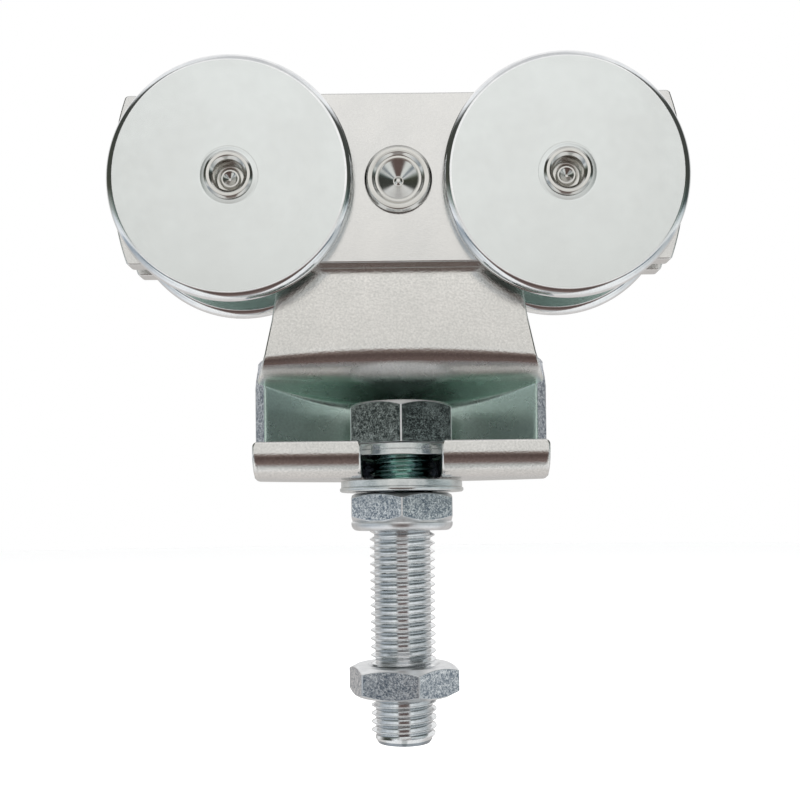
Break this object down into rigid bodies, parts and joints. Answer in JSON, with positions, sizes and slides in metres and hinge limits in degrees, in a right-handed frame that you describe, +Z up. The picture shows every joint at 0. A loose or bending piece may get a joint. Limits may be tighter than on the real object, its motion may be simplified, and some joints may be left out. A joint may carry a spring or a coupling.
{
  "type": "sliding door track trolley",
  "caption": "Zinc-plated steel track trolley: flat disc wheels on a riveted plate carrier, with a hex bolt hung in a pressed pocket below.",
  "frame": {"origin": "midway between the two wheel axles, on the centre plane of the carrier; this is the line that hangs on the track", "axes": "+X along the track, -Y towards the front of the pocket and its lip, +Z up, away from the hanging bolt"},
  "size_m": [0.137, 0.0408, 0.1632],
  "materials": {
    "pressed_sheet": "satin bright zinc plate on pressed sheet",
    "side_plate": "satin bright zinc plate",
    "wheel_steel": "fine turned faces, bright zinc plate",
    "rivet_steel": "formed rivet heads, bright zinc plate",
    "bearing_steel": "ground and polished",
    "turned_steel": "turned, zinc plate",
    "bolt_steel": "rolled thread, bright zinc plate",
    "nut_steel": "speckled forged flats, bright zinc plate",
    "washer_steel": "bright zinc plate"
  },
  "bodies": {
    "carrier": {"hanger_body": "pressed_sheet", "front_side_plate": "side_plate", "rear_side_plate": "side_plate", "centre_rivet": "rivet_steel", "left_bearing_outer_ring": "bearing_steel", "right_bearing_outer_ring": "bearing_steel"},
    "left_wheelset": {"left_axle": "rivet_steel", "left_front_wheel": "wheel_steel", "left_rear_wheel": "wheel_steel", "left_front_spacer": "turned_steel", "left_rear_spacer": "turned_steel", "left_bearing_inner_ring": "bearing_steel"},
    "left_balls": {"left_ball_1": "bearing_steel", "left_ball_2": "bearing_steel", "left_ball_3": "bearing_steel", "left_ball_4": "bearing_steel", "left_ball_5": "bearing_steel", "left_ball_6": "bearing_steel", "left_ball_7": "bearing_steel", "left_ball_8": "bearing_steel", "left_ball_9": "bearing_steel", "left_ball_10": "bearing_steel", "left_ball_11": "bearing_steel", "left_ball_12": "bearing_steel"},
    "right_wheelset": {"right_axle": "rivet_steel", "right_front_wheel": "wheel_steel", "right_rear_wheel": "wheel_steel", "right_front_spacer": "turned_steel", "right_rear_spacer": "turned_steel", "right_bearing_inner_ring": "bearing_steel"},
    "right_balls": {"right_ball_1": "bearing_steel", "right_ball_2": "bearing_steel", "right_ball_3": "bearing_steel", "right_ball_4": "bearing_steel", "right_ball_5": "bearing_steel", "right_ball_6": "bearing_steel", "right_ball_7": "bearing_steel", "right_ball_8": "bearing_steel", "right_ball_9": "bearing_steel", "right_ball_10": "bearing_steel", "right_ball_11": "bearing_steel", "right_ball_12": "bearing_steel"},
    "bolt": {"hanger_bolt": "bolt_steel", "head_washer": "washer_steel"},
    "clamp_washer": {"clamp_washer": "washer_steel"},
    "clamp_nut": {"clamp_nut": "nut_steel"},
    "lower_nut": {"lower_nut": "nut_steel"}
  },
  "joints": [
    {"name": "left_wheelset_spin", "type": "hinge", "parent": "carrier", "child": "left_wheelset", "pos_m": [-0.0395, 0, 0], "axis": [0, 1, 0], "continuous": true},
    {"name": "left_ball_orbit", "type": "hinge", "parent": "carrier", "child": "left_balls", "pos_m": [-0.0395, 0, 0], "axis": [0, 1, 0], "continuous": true},
    {"name": "right_wheelset_spin", "type": "hinge", "parent": "carrier", "child": "right_wheelset", "pos_m": [0.0395, 0, 0], "axis": [0, 1, 0], "continuous": true},
    {"name": "right_ball_orbit", "type": "hinge", "parent": "carrier", "child": "right_balls", "pos_m": [0.0395, 0, 0], "axis": [0, 1, 0], "continuous": true},
    {"name": "bolt_swivel", "type": "hinge", "parent": "carrier", "child": "bolt", "pos_m": [0, 0, 0], "axis": [0, 0, 1], "continuous": true},
    {"name": "clamp_washer_drop", "type": "slide", "parent": "bolt", "child": "clamp_washer", "axis": [0, 0, -1], "range_m": [0, 0.01]},
    {"name": "clamp_nut_turn", "type": "hinge", "parent": "clamp_washer", "child": "clamp_nut", "pos_m": [0, 0, 0], "axis": [0, 0, 1], "range_deg": [0, 1800]},
    {"name": "lower_nut_travel", "type": "slide", "parent": "bolt", "child": "lower_nut", "axis": [0, 0, 1], "range_m": [-0.009, 0.02]}
  ],
  "couplings": [
    {"joint": "left_ball_orbit", "follows": "left_wheelset_spin", "ratio": 0.3763},
    {"joint": "right_ball_orbit", "follows": "right_wheelset_spin", "ratio": 0.3763},
    {"joint": "clamp_nut_turn", "follows": "clamp_washer_drop", "rad_per_m": 3141.6}
  ]
}
